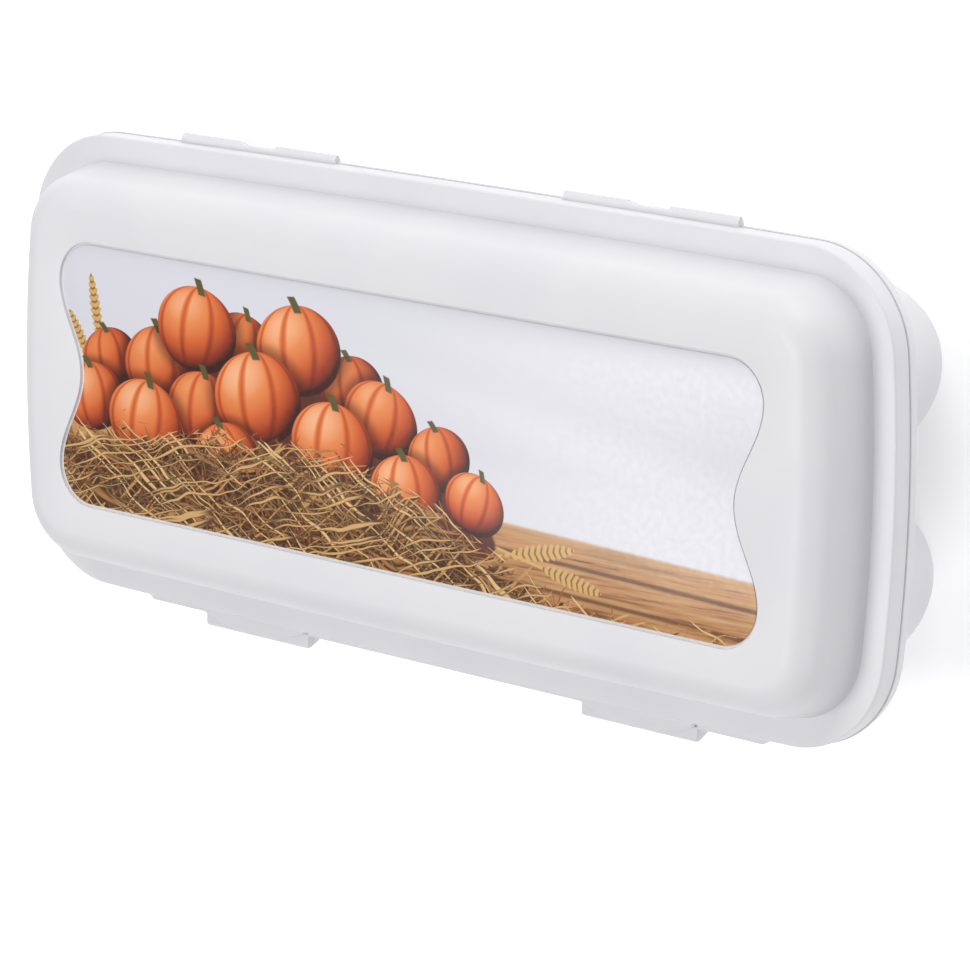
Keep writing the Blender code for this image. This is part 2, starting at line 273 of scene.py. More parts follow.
class Workbench:
    """Blender's modelling operators, each step on one selected piece."""

    @staticmethod
    def clear() -> None:
        """Deselect every object."""
        if bpy.context.object is not None and bpy.context.object.mode != "OBJECT":
            bpy.ops.object.mode_set(mode="OBJECT")
        for item in bpy.context.view_layer.objects:
            item.select_set(False)

    @classmethod
    def take(cls, item: bpy.types.Object) -> None:
        """Make one object the only selected and active one.

        Args:
            item: The object.
        """
        cls.clear()
        item.select_set(True)
        bpy.context.view_layer.objects.active = item

    @classmethod
    def edit(cls, item: bpy.types.Object, mode: str = "FACE") -> None:
        """Open an object in edit mode with nothing selected.

        Args:
            item: The object.
            mode: VERT, EDGE or FACE.
        """
        cls.take(item)
        bpy.ops.object.mode_set(mode="EDIT")
        bpy.ops.mesh.select_mode(type=mode)
        bpy.ops.mesh.select_all(action="DESELECT")

    @classmethod
    def edit_whole(cls, item: bpy.types.Object, mode: str = "FACE") -> None:
        """Open an object in edit mode with all of it selected.

        Args:
            item: The object.
            mode: VERT, EDGE or FACE.
        """
        cls.edit(item, mode)
        bpy.ops.mesh.select_all(action="SELECT")

    @staticmethod
    def close() -> None:
        """Leave edit mode."""
        bpy.ops.object.mode_set(mode="OBJECT")

    @classmethod
    def pick(cls, item: bpy.types.Object, mode: str, test: Callable[[Vector], bool]) -> None:
        """Select the parts of a mesh whose every corner passes a test, and stay in edit mode.

        Args:
            item: The object.
            mode: VERT, EDGE or FACE.
            test: Says of a place whether it belongs to the selection.
        """
        cls.edit(item, mode)
        bpy.ops.object.mode_set(mode="OBJECT")
        mesh = item.data
        good = [test(v.co) for v in mesh.vertices]
        if mode == "VERT":
            for vertex, passes in zip(mesh.vertices, good):
                vertex.select = passes
        elif mode == "EDGE":
            for edge in mesh.edges:
                edge.select = all(good[i] for i in edge.vertices)
        else:
            for face in mesh.polygons:
                face.select = all(good[i] for i in face.vertices)
        bpy.ops.object.mode_set(mode="EDIT")

    @classmethod
    def pick_open_edge(cls, item: bpy.types.Object) -> None:
        """Select the edges that have a face on one side only, and stay in edit mode.

        Args:
            item: The object.
        """
        cls.edit(item, "EDGE")
        bpy.ops.mesh.select_non_manifold(extend=False, use_wire=False, use_boundary=True,
                                         use_multi_face=False, use_non_contiguous=False, use_verts=False)

    @classmethod
    def sheet(cls, name: str, points: Sequence[Place]) -> bpy.types.Object:
        """Add one flat face: a filled circle whose corners are set on an outline.

        Args:
            name: Name of the piece.
            points: The outline.

        Returns:
            The new object.
        """
        cls.clear()
        bpy.ops.mesh.primitive_circle_add(vertices=len(points), radius=1.0, fill_type="NGON")
        item = bpy.context.object
        item.name = name
        item.data.name = name
        for vertex, place in zip(item.data.vertices, points):
            vertex.co = place
        item.data.update()
        return item

    @staticmethod
    def grow(rings: Sequence[Point]) -> None:
        """Inset the one selected face step by step.

        Args:
            rings: The inset and the rise of each step.
        """
        for inset, rise in rings:
            bpy.ops.mesh.inset(thickness=inset, depth=rise, use_boundary=True, use_even_offset=True)

    @staticmethod
    def draw_out(offset: Place) -> None:
        """Extrude what is selected by an offset."""
        bpy.ops.mesh.extrude_region_move(TRANSFORM_OT_translate={"value": offset})

    @classmethod
    def block(cls, name: str, points: Sequence[Place], offset: Place) -> bpy.types.Object:
        """Draw a flat outline out to a closed block.

        Args:
            name: Name of the piece.
            points: The outline.
            offset: How far it is drawn out.

        Returns:
            The block.
        """
        item = cls.sheet(name, points)
        cls.edit_whole(item)
        cls.draw_out(offset)
        cls.close()
        cls.weld(item)
        return item

    @classmethod
    def apply(cls, item: bpy.types.Object, kind: str, **settings: object) -> None:
        """Add a modifier to an object and apply it.

        Args:
            item: The object.
            kind: The modifier's type.
            settings: Its settings by name.
        """
        cls.take(item)
        modifier = item.modifiers.new(kind.lower(), kind)
        for key, value in settings.items():
            setattr(modifier, key, value)
        bpy.ops.object.modifier_apply(modifier=modifier.name)

    @classmethod
    def soften(cls, item: bpy.types.Object, width: float, segments: int, degrees: float) -> None:
        """Round an object's sharper edges.

        Args:
            item: The object.
            width: Width of the rounding.
            segments: How many steps it has.
            degrees: Edges that turn by less than this stay as they are.
        """
        cls.apply(item, "BEVEL", width=width, segments=segments, limit_method="ANGLE",
                  angle_limit=math.radians(degrees))

    @classmethod
    def join(cls, first: bpy.types.Object, others: Sequence[bpy.types.Object]) -> None:
        """Join other objects into the first.

        Args:
            first: The object that stays.
            others: What joins it.
        """
        cls.take(first)
        for item in others:
            item.select_set(True)
        bpy.ops.object.join()

    @classmethod
    def weld(cls, item: bpy.types.Object, outwards: bool = True) -> None:
        """Merge doubles, and turn the faces outwards where the mesh is closed.

        Args:
            item: The object.
            outwards: Whether its faces are turned outwards.
        """
        cls.edit_whole(item, "VERT")
        bpy.ops.mesh.remove_doubles(threshold=weld_distance)
        if outwards:
            bpy.ops.mesh.select_all(action="SELECT")
            bpy.ops.mesh.normals_make_consistent(inside=False)
        cls.close()

    @classmethod
    def shade(cls, item: bpy.types.Object, angle: float = smooth_angle) -> None:
        """Shade an object smooth up to an edge angle.

        Args:
            item: The object.
            angle: The angle in radians.
        """
        cls.take(item)
        bpy.ops.object.shade_smooth_by_angle(angle=angle)

    @classmethod
    def copy(cls, item: bpy.types.Object, offset: Place) -> bpy.types.Object:
        """Copy an object with its own mesh and move the mesh.

        Args:
            item: The object.
            offset: How far the copy lies from it.

        Returns:
            The copy.
        """
        twin = item.copy()
        twin.data = item.data.copy()
        bpy.context.scene.collection.objects.link(twin)
        twin.data.transform(Matrix.Translation(offset))
        return twin


class NodeDesk:
    """Builds shader nodes with short calls."""

    def __init__(self, tree: bpy.types.NodeTree) -> None:
        """Keep the tree that the nodes go into."""
        self.tree = tree

    def node(self, kind: str, **settings: object) -> bpy.types.Node:
        """Add a node.

        Args:
            kind: The node's type.
            settings: Its settings by name.

        Returns:
            The node.
        """
        made = self.tree.nodes.new(kind)
        for key, value in settings.items():
            setattr(made, key, value)
        return made

    def feed(self, socket: bpy.types.NodeSocket, value: Value) -> None:
        """Link a socket, or set it to a number or colour.

        Args:
            socket: The socket.
            value: An output to link it to, or what it is set to.
        """
        if isinstance(value, bpy.types.NodeSocket):
            self.tree.links.new(value, socket)
        else:
            socket.default_value = value

    def maths(self, operation: str, *values: Value, clamp: bool = False) -> bpy.types.NodeSocket:
        """Add a Math node.

        Args:
            operation: What it does.
            values: Its inputs.
            clamp: Whether the result is kept between 0 and 1.

        Returns:
            Its output.
        """
        made = self.node("ShaderNodeMath", operation=operation, use_clamp=clamp)
        for socket, value in zip(made.inputs, values):
            self.feed(socket, value)
        return made.outputs[0]

    def mix(self, factor: Value, first: Value, second: Value, blend: str = "MIX") -> bpy.types.NodeSocket:
        """Mix two colours.

        Args:
            factor: Share of the second one.
            first: First colour.
            second: Second colour.
            blend: How they are mixed.

        Returns:
            The mixed colour.
        """
        made = self.node("ShaderNodeMix", data_type="RGBA", blend_type=blend)
        self.feed(made.inputs[0], factor)
        self.feed(made.inputs[6], first)
        self.feed(made.inputs[7], second)
        return made.outputs[2]

    def noise(self, vector: bpy.types.NodeSocket, scale: float, detail: float = 2.0,
              roughness: float = 0.5) -> bpy.types.NodeSocket:
        """Add a Noise Texture.

        Args:
            vector: The places.
            scale: How fine the noise is.
            detail: How many finer layers it has.
            roughness: How strong those layers are.

        Returns:
            Its value, from 0 to 1 around a half.
        """
        made = self.node("ShaderNodeTexNoise")
        self.feed(made.inputs["Vector"], vector)
        made.inputs["Scale"].default_value = scale
        made.inputs["Detail"].default_value = detail
        made.inputs["Roughness"].default_value = roughness
        return made.outputs[0]

    def band(self, value: Value, low: float, high: float, start: float = 0.0,
             end: float = 1.0) -> bpy.types.NodeSocket:
        """Map a value smoothly from one range to another.

        Args:
            value: The value.
            low: Where the change starts.
            high: Where it ends.
            start: The result at low.
            end: The result at high.

        Returns:
            The mapped value.
        """
        made = self.node("ShaderNodeMapRange", interpolation_type="SMOOTHSTEP")
        self.feed(made.inputs["Value"], value)
        made.inputs["From Min"].default_value = low
        made.inputs["From Max"].default_value = high
        made.inputs["To Min"].default_value = start
        made.inputs["To Max"].default_value = end
        return made.outputs[0]

    def split(self, vector: bpy.types.NodeSocket) -> tuple[bpy.types.NodeSocket, ...]:
        """Split a vector into its coordinates.

        Args:
            vector: The vector.

        Returns:
            X, Y and Z.
        """
        made = self.node("ShaderNodeSeparateXYZ")
        self.feed(made.inputs[0], vector)
        return tuple(made.outputs)

    def dot(self, first: bpy.types.NodeSocket, second: Value) -> bpy.types.NodeSocket:
        """Multiply two vectors into one number.

        Args:
            first: First vector.
            second: Second vector.

        Returns:
            Their dot product.
        """
        made = self.node("ShaderNodeVectorMath", operation="DOT_PRODUCT")
        self.feed(made.inputs[0], first)
        self.feed(made.inputs[1], second)
        return made.outputs["Value"]

    def frame(self, vector: bpy.types.NodeSocket, place: Place, turn: float,
              size: Place) -> bpy.types.NodeSocket:
        """Measure places from a turned and scaled frame of their own.

        Args:
            vector: The places.
            place: Middle of the frame.
            turn: Its turn about Z in radians.
            size: Length of one unit of it along each axis.

        Returns:
            The places in that frame.
        """
        made = self.node("ShaderNodeMapping", vector_type="TEXTURE")
        self.feed(made.inputs["Vector"], vector)
        made.inputs["Location"].default_value = place
        made.inputs["Rotation"].default_value = (0.0, 0.0, turn)
        made.inputs["Scale"].default_value = size
        return made.outputs[0]

    def ramp(self, factor: Value, stops: Sequence[tuple[float, Colour]]) -> bpy.types.NodeSocket:
        """Add a Color Ramp.

        Args:
            factor: Place along the ramp.
            stops: Place and colour of each stop.

        Returns:
            The colour.
        """
        made = self.node("ShaderNodeValToRGB")
        elements = made.color_ramp.elements
        while len(elements) < len(stops):
            elements.new(0.5)
        for element, (position, colour) in zip(elements, stops):
            element.position = position
            element.color = colour
        self.feed(made.inputs[0], factor)
        return made.outputs[0]


@dataclass(frozen=True)
class MouldedPlastic:
    """Satin polypropylene with a faint flow cloud, duller patches and a fine skin."""

    name: str
    colour: Colour = (0.705, 0.705, 0.717, 1.0)
    cloud_colour: Colour = (0.685, 0.685, 0.70, 1.0)
    roughness: float = 0.44
    rough_patch: float = 0.52
    cloud_scale: float = 26.0
    patch_scale: float = 59.8
    skin_scale: float = 2600.0
    skin_strength: float = 0.25
    skin_height: float = 0.000004
    glow: float = 0.08
    glow_radius: Place = (0.9, 0.9, 1.0)
    glow_depth: float = 0.0015

    def make(self) -> bpy.types.Material:
        """Make the material.

        Returns:
            The material.
        """
        material = bpy.data.materials.new(self.name)
        material.use_nodes = True
        desk = NodeDesk(material.node_tree)
        shader = material.node_tree.nodes["Principled BSDF"]
        place = desk.node("ShaderNodeTexCoord").outputs["Object"]
        cloud = desk.noise(place, self.cloud_scale, 3.0, 0.55)
        colour = desk.mix(desk.band(cloud, 0.35, 0.7), self.colour, self.cloud_colour)
        desk.feed(shader.inputs["Base Color"], colour)
        patches = desk.noise(place, self.patch_scale, 4.0, 0.6)
        rough = desk.band(patches, 0.3, 0.7, self.roughness, self.rough_patch)
        desk.feed(shader.inputs["Roughness"], rough)
        skin = desk.node("ShaderNodeBump")
        skin.inputs["Strength"].default_value = self.skin_strength
        skin.inputs["Distance"].default_value = self.skin_height
        desk.feed(skin.inputs["Height"], desk.noise(place, self.skin_scale, 2.0, 0.5))
        desk.feed(shader.inputs["Normal"], skin.outputs[0])
        shader.inputs["IOR"].default_value = plastic_ior
        shader.inputs["Subsurface Weight"].default_value = self.glow
        shader.inputs["Subsurface Radius"].default_value = self.glow_radius
        shader.inputs["Subsurface Scale"].default_value = self.glow_depth
        return material


@dataclass(frozen=True)
class Pumpkin:
    """One printed pumpkin, its sizes in millimetres from the label's middle."""

    x: float
    y: float
    half_width: float
    half_height: float
    tilt: float
    ripeness: float


@dataclass(frozen=True)
class DarkPool:
    """One dark pool behind the heap, its sizes in millimetres from the label's middle."""

    x: float
    y: float
    half_width: float
    half_height: float
    turn: float


@dataclass(frozen=True)
class Straw:
    """One layer of printed straw: its colour, its turn in radians, and a strand's length and width."""

    colour: Colour
    turn: float
    length: float
    width: float


@dataclass(frozen=True)
class WheatEar:
    """One printed ear of wheat, its sizes in millimetres from the label's middle."""

    x: float
    y: float
    half_length: float
    half_width: float
    turn: float


@dataclass(frozen=True)
class HarvestPrint:
    """Printed film: pumpkins on straw and planks, under a pale sky. Its sizes are in millimetres."""

    name: str = "harvest_print"
    centre_y: float = 1.95
    roughness: float = 0.30
    rough_patch: float = 0.38
    patch_scale: float = 0.6
    ribs: float = 4.2
    light: Place = (-0.30, 0.42, 0.0)
    sky: Colour = (0.66, 0.655, 0.71, 1.0)
    bright_sky: Colour = (0.655, 0.655, 0.69, 1.0)
    plank: Colour = (0.46, 0.22, 0.085, 1.0)
    pale_plank: Colour = (0.60, 0.35, 0.155, 1.0)
    dark_plank: Colour = (0.13, 0.045, 0.015, 1.0)
    plank_turn: float = 0.02
    plank_slope: float = 0.028
    plank_seams: tuple[float, ...] = (-20.5, -27.5)
    grain_size: Place = (26.0, 1.3, 1.0)
    knot_size: Place = (60.0, 9.0, 1.0)
    straw_shade: Colour = (0.030, 0.008, 0.003, 1.0)
    straw: tuple[Straw, ...] = (
        Straw((0.09, 0.025, 0.008, 1.0), 0.50, 20.0, 1.1),
        Straw((0.17, 0.055, 0.015, 1.0), -0.35, 26.0, 1.0),
        Straw((0.29, 0.110, 0.030, 1.0), 1.05, 18.0, 0.9),
        Straw((0.21, 0.075, 0.020, 1.0), -0.85, 22.0, 1.0),
        Straw((0.40, 0.185, 0.058, 1.0), 0.12, 28.0, 0.9),
        Straw((0.30, 0.120, 0.034, 1.0), -1.25, 16.0, 0.8),
        Straw((0.50, 0.265, 0.090, 1.0), 0.75, 22.0, 0.8),
        Straw((0.38, 0.170, 0.050, 1.0), -0.16, 30.0, 0.9),
        Straw((0.72, 0.470, 0.205, 1.0), -0.55, 24.0, 0.7),
        Straw((0.62, 0.375, 0.150, 1.0), 0.30, 26.0, 0.7),
    )
    strand_bow: Place = (9.0, 9.0, 0.0)
    strand_bow_scale: float = 0.05
    hollow: Colour = (0.10, 0.022, 0.012, 1.0)
    hollows: tuple[DarkPool, ...] = (
        DarkPool(-62.0, -2.0, 40.0, 15.0, 0.0),
        DarkPool(-18.0, -3.0, 27.0, 14.0, -0.25),
        DarkPool(8.0, -16.0, 26.0, 8.0, -0.25),
    )
    grain: Colour = (0.62, 0.38, 0.13, 1.0)
    grain_shade: Colour = (0.23, 0.11, 0.03, 1.0)
    ears: tuple[WheatEar, ...] = (
        WheatEar(-96.0, 17.0, 9.0, 2.0, 0.20),
        WheatEar(-101.0, 9.0, 8.0, 1.9, 0.55),
        WheatEar(46.0, -20.5, 10.0, 2.2, -1.35),
        WheatEar(55.0, -25.5, 9.0, 2.1, -1.75),
    )
    stem: Colour = (0.10, 0.085, 0.025, 1.0)
    skin_stops: tuple[tuple[float, Colour], ...] = (
        (0.0, (0.045, 0.006, 0.003, 1.0)),
        (0.30, (0.30, 0.035, 0.009, 1.0)),
        (0.58, (0.60, 0.115, 0.024, 1.0)),
        (0.82, (0.76, 0.24, 0.075, 1.0)),
        (1.0, (0.90, 0.48, 0.26, 1.0)),
    )
    pumpkins: tuple[Pumpkin, ...] = (
        Pumpkin(-91.0, 5.5, 9.5, 7.6, 0.25, -0.14),
        Pumpkin(-47.0, 14.0, 10.5, 8.6, -0.20, -0.16),
        Pumpkin(-12.0, 9.0, 10.0, 8.2, 0.20, -0.14),
        Pumpkin(-74.0, 6.0, 12.0, 9.8, 0.10, -0.05),
        Pumpkin(-62.0, 16.5, 13.0, 10.6, -0.12, 0.0),
        Pumpkin(-29.0, 16.0, 13.5, 11.0, 0.10, 0.03),
        Pumpkin(-3.0, 3.0, 11.5, 9.2, -0.25, -0.02),
        Pumpkin(15.0, -3.5, 9.5, 7.8, 0.22, -0.05),
        Pumpkin(-97.0, -5.0, 10.5, 8.6, 0.18, 0.02),
        Pumpkin(-60.0, -3.0, 11.5, 9.4, -0.08, -0.06),
        Pumpkin(-42.0, 2.5, 14.0, 11.4, 0.12, 0.05),
        Pumpkin(-79.0, -8.5, 12.5, 10.2, -0.14, 0.04),
        Pumpkin(-18.0, -5.5, 13.0, 10.6, -0.05, 0.05),
        Pumpkin(-52.0, -14.0, 11.0, 9.0, 0.30, -0.01),
        Pumpkin(5.0, -13.0, 11.0, 9.0, 0.12, 0.03),
        Pumpkin(26.0, -12.5, 9.0, 7.3, -0.32, 0.0),
    )

    def make(self) -> bpy.types.Material:
        """Make the material.

        Returns:
            The material.
        """
        material = bpy.data.materials.new(self.name)
        material.use_nodes = True
        desk = NodeDesk(material.node_tree)
        shader = material.node_tree.nodes["Principled BSDF"]
        plane = self.plane(desk)
        picture = self.backdrop(desk, plane)
        for ear in self.ears:
            picture = self.lay_ear(desk, plane, picture, ear)
        cover = 0.0
        for hollow in self.hollows:
            picture = self.lay_hollow(desk, plane, picture, hollow)
        for pumpkin in self.pumpkins:
            picture, cover = self.lay_pumpkin(desk, plane, picture, cover, pumpkin)
        picture = self.lay_straw(desk, plane, picture)
        desk.feed(shader.inputs["Base Color"], picture)
        patches = desk.noise(plane, self.patch_scale, 3.0, 0.5)
        rough = desk.band(patches, 0.3, 0.7, self.roughness, self.rough_patch)
        desk.feed(shader.inputs["Roughness"], rough)
        shader.inputs["IOR"].default_value = plastic_ior
        return material

    def plane(self, desk: NodeDesk) -> bpy.types.NodeSocket:
        """Measure the label in its own plane.

        Args:
            desk: Where the nodes go.

        Returns:
            Places on the label, in millimetres from its middle.
        """
        mapping = desk.node("ShaderNodeMapping", vector_type="POINT")
        mapping.inputs["Location"].default_value = (0.0, -self.centre_y, 0.0)
        mapping.inputs["Scale"].default_value = (1000.0, 1000.0, 0.0)
        desk.feed(mapping.inputs["Vector"], desk.node("ShaderNodeTexCoord").outputs["Object"])
        return mapping.outputs[0]

    def backdrop(self, desk: NodeDesk, plane: bpy.types.NodeSocket) -> bpy.types.NodeSocket:
        """Paint the sky and the planks below it.

        Args:
            desk: Where the nodes go.
            plane: Places on the label.

        Returns:
            The colour.
        """
        x, y, _ = desk.split(plane)
        sky = desk.mix(desk.band(x, -110.0, 60.0), self.sky, self.bright_sky)
        along = desk.frame(plane, (0.0, 0.0, 0.0), self.plank_turn, self.grain_size)
        grain = desk.noise(along, 1.0, 4.0, 0.62)
        wood = desk.ramp(grain, ((0.30, self.dark_plank), (0.46, self.plank), (0.68, self.pale_plank)))
        knots = desk.noise(desk.frame(plane, (3.0, 5.0, 0.0), self.plank_turn, self.knot_size), 1.0, 2.0, 0.5)
        wood = desk.mix(desk.band(knots, 0.52, 0.72, 0.0, 0.55), wood, self.dark_plank)
        level = desk.maths("MULTIPLY_ADD", x, self.plank_slope, y)
        for seam in self.plank_seams:
            gap = desk.maths("ABSOLUTE", desk.maths("SUBTRACT", level, seam))
            wood = desk.mix(desk.band(gap, 0.15, 0.9, 0.85, 0.0), wood, self.dark_plank)
        lit = desk.band(level, -18.0, -14.0, 0.0, 0.7)
        wood = desk.mix(lit, wood, self.pale_plank)
        return desk.mix(desk.band(level, -14.6, -13.6, 1.0, 0.0), sky, wood)

    def lay_ear(self, desk: NodeDesk, plane: bpy.types.NodeSocket, under: bpy.types.NodeSocket,
                ear: WheatEar) -> bpy.types.NodeSocket:
        """Paint one ear of wheat on its stalk over a picture.

        Args:
            desk: Where the nodes go.
            plane: Places on the label.
            under: The picture so far.
            ear: The ear.

        Returns:
            The colour.
        """
        local = desk.frame(plane, (ear.x, ear.y, 0.0), ear.turn, (ear.half_width, ear.half_length, 1.0))
        u, v, _ = desk.split(local)
        across = desk.maths("ABSOLUTE", u)
        rank = desk.maths("MULTIPLY_ADD", across, -1.6, desk.maths("MULTIPLY", v, 17.0))
        kernel = desk.maths("ABSOLUTE", desk.maths("SINE", rank))
        taper = desk.maths("SQRT", desk.maths("SUBTRACT", 1.0, desk.maths("MULTIPLY", v, v), clamp=True))
        edge = desk.maths("MULTIPLY", taper, desk.maths("MULTIPLY_ADD", kernel, 0.45, 0.55))
        body = desk.band(desk.maths("SUBTRACT", edge, across), 0.0, 0.12)
        husk = desk.mix(desk.band(kernel, 0.1, 0.8), self.grain_shade, self.grain)
        below = desk.band(v, -0.9, -0.8, 1.0, 0.0)
        stalk = desk.maths("MULTIPLY", desk.band(across, 0.12, 0.22, 1.0, 0.0), below)
        short = desk.band(v, -4.2, -4.0, 0.0, 1.0)
        picture = desk.mix(desk.maths("MULTIPLY", stalk, short), under, self.grain)
        return desk.mix(body, picture, husk)

    def lay_hollow(self, desk: NodeDesk, plane: bpy.types.NodeSocket, under: bpy.types.NodeSocket,
                   hollow: DarkPool) -> bpy.types.NodeSocket:
        """Darken the picture behind the heap.

        Args:
            desk: Where the nodes go.
            plane: Places on the label.
            under: The picture so far.
            hollow: The dark pool.

        Returns:
            The colour.
        """
        size = (hollow.half_width, hollow.half_height, 1.0)
        local = desk.frame(plane, (hollow.x, hollow.y, 0.0), hollow.turn, size)
        return desk.mix(desk.band(desk.dot(local, local), 0.9, 1.0, 1.0, 0.0), under, self.hollow)

    def lay_pumpkin(self, desk: NodeDesk, plane: bpy.types.NodeSocket, under: bpy.types.NodeSocket,
                    cover: Value, pumpkin: Pumpkin) -> tuple[bpy.types.NodeSocket, bpy.types.NodeSocket]:
        """Paint one ribbed pumpkin, with its stem and the shade that it casts, over a picture.

        Args:
            desk: Where the nodes go.
            plane: Places on the label.
            under: The picture so far.
            cover: Where pumpkins lie already, which is where the shade falls.
            pumpkin: The pumpkin.

        Returns:
            The colour, and where pumpkins lie now.
        """
        place = (pumpkin.x, pumpkin.y, 0.0)
        local = desk.frame(plane, place, pumpkin.tilt, (pumpkin.half_width, pumpkin.half_height, 1.0))
        u, v, _ = desk.split(local)
        reach = desk.dot(local, local)
        swell = desk.maths("SQRT", desk.maths("SUBTRACT", 1.0, reach, clamp=True))
        belt = desk.maths("SQRT", desk.maths("SUBTRACT", 1.0, desk.maths("MULTIPLY", v, v), clamp=True))
        turn = desk.maths("ARCSINE", desk.maths("DIVIDE", u, desk.maths("MAXIMUM", belt, 0.02)))
        rib = desk.maths("ABSOLUTE", desk.maths("COSINE", desk.maths("MULTIPLY", turn, self.ribs)))
        groove = desk.band(rib, 0.0, 0.55, 0.62, 1.0)
        shade = desk.maths("MULTIPLY_ADD", swell, 0.62, desk.dot(local, self.light))
        shade = desk.maths("MULTIPLY", desk.maths("ADD", shade, 0.12 + pumpkin.ripeness), groove)
        skin = desk.ramp(shade, self.skin_stops)
        shadow = desk.band(reach, 0.95, 1.75, 0.62, 0.0)
        picture = desk.mix(desk.maths("MULTIPLY", shadow, cover), under, self.straw_shade)
        bend = desk.maths("MULTIPLY_ADD", desk.maths("MULTIPLY", v, v), 0.22, desk.maths("SUBTRACT", u, 0.2))
        stalk = desk.band(desk.maths("ABSOLUTE", bend), 0.07, 0.11, 1.0, 0.0)
        height = desk.band(desk.maths("ABSOLUTE", desk.maths("SUBTRACT", v, 1.0)), 0.16, 0.20, 1.0, 0.0)
        disc = desk.band(reach, 0.97, 1.02, 1.0, 0.0)
        picture = desk.mix(disc, picture, skin)
        picture = desk.mix(desk.maths("MULTIPLY", stalk, height), picture, self.stem)
        return picture, desk.maths("MAXIMUM", disc, cover)

    def lay_straw(self, desk: NodeDesk, plane: bpy.types.NodeSocket,
                  under: bpy.types.NodeSocket) -> bpy.types.NodeSocket:
        """Paint a bed of straw, dark below and golden on top, over a picture.

        Args:
            desk: Where the nodes go.
            plane: Places on the label.
            under: The picture so far.

        Returns:
            The colour.
        """
        x, y, _ = desk.split(plane)
        rise = desk.band(x, -107.0, -35.0, -16.5, -11.0)
        fall = desk.band(x, -20.0, 66.0, 0.0, -25.0)
        depth = desk.maths("SUBTRACT", desk.maths("ADD", rise, fall), y)
        tufts = desk.noise(plane, 0.16, 3.0, 0.6)
        ragged = desk.maths("MULTIPLY_ADD", tufts, 12.0, desk.maths("SUBTRACT", depth, 6.0))
        picture = desk.mix(desk.band(ragged, 0.0, 3.5, 0.0, 0.9), under, self.straw_shade)
        warp = desk.node("ShaderNodeTexNoise")
        desk.feed(warp.inputs["Vector"], plane)
        warp.inputs["Scale"].default_value = self.strand_bow_scale
        bowed = desk.node("ShaderNodeVectorMath", operation="MULTIPLY_ADD")
        desk.feed(bowed.inputs[0], warp.outputs["Color"])
        bowed.inputs[1].default_value = self.strand_bow
        desk.feed(bowed.inputs[2], plane)
        for number, straw in enumerate(self.straw):
            seed = (17.3 * number, 31.7 * number, 0.0)
            size = (straw.length, straw.width, 1.0)
            line = desk.noise(desk.frame(bowed.outputs[0], seed, straw.turn, size), 1.0, 0.0, 0.5)
            strand = desk.band(line, 0.57, 0.61)
            lift = desk.maths("MULTIPLY_ADD", line, 26.0, desk.maths("SUBTRACT", ragged, 14.5))
            shown = desk.maths("MULTIPLY", strand, desk.band(lift, 0.0, 1.5))
            lit = desk.mix(desk.band(line, 0.58, 0.72), self.straw_shade, straw.colour)
            picture = desk.mix(shown, picture, lit)
        return picture


@dataclass(frozen=True)
class FloorPaint:
    """Pale matt sweep that the container lies on."""

    name: str = "studio_floor"
    colour: Colour = (0.97, 0.97, 0.97, 1.0)
    roughness: float = 0.7
    shine: float = 0.2
    glow: float = 0.29

    def make(self) -> bpy.types.Material:
        """Make the material.

        Returns:
            The material.
        """
        material = bpy.data.materials.new(self.name)
        material.use_nodes = True
        shader = material.node_tree.nodes["Principled BSDF"]
        shader.inputs["Base Color"].default_value = self.colour
        shader.inputs["Roughness"].default_value = self.roughness
        shader.inputs["Specular IOR Level"].default_value = self.shine
        shader.inputs["Emission Color"].default_value = self.colour
        shader.inputs["Emission Strength"].default_value = self.glow
        return material


def finish_piece(item: bpy.types.Object, material: bpy.types.Material, body: Body) -> None:
    """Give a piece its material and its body.

    Args:
        item: The piece.
        material: Its material.
        body: The body that it rides on.
    """
    item.data.materials.clear()
    item.data.materials.append(material)
    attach(item, body.value)


def fillet_rings(radius: float, start: float, steps: int) -> list[Point]:
    """Split a quarter arc into rings.

    Args:
        radius: Radius of the arc.
        start: Angle from upright where it starts.
        steps: How many rings it has.

    Returns:
        The inset and the rise of each ring.
    """
    angles = [start + (math.pi / 2 - start) * i / steps for i in range(steps + 1)]
    return [(radius * (math.cos(first) - math.cos(last)), radius * (math.sin(last) - math.sin(first)))
            for first, last in zip(angles, angles[1:])]


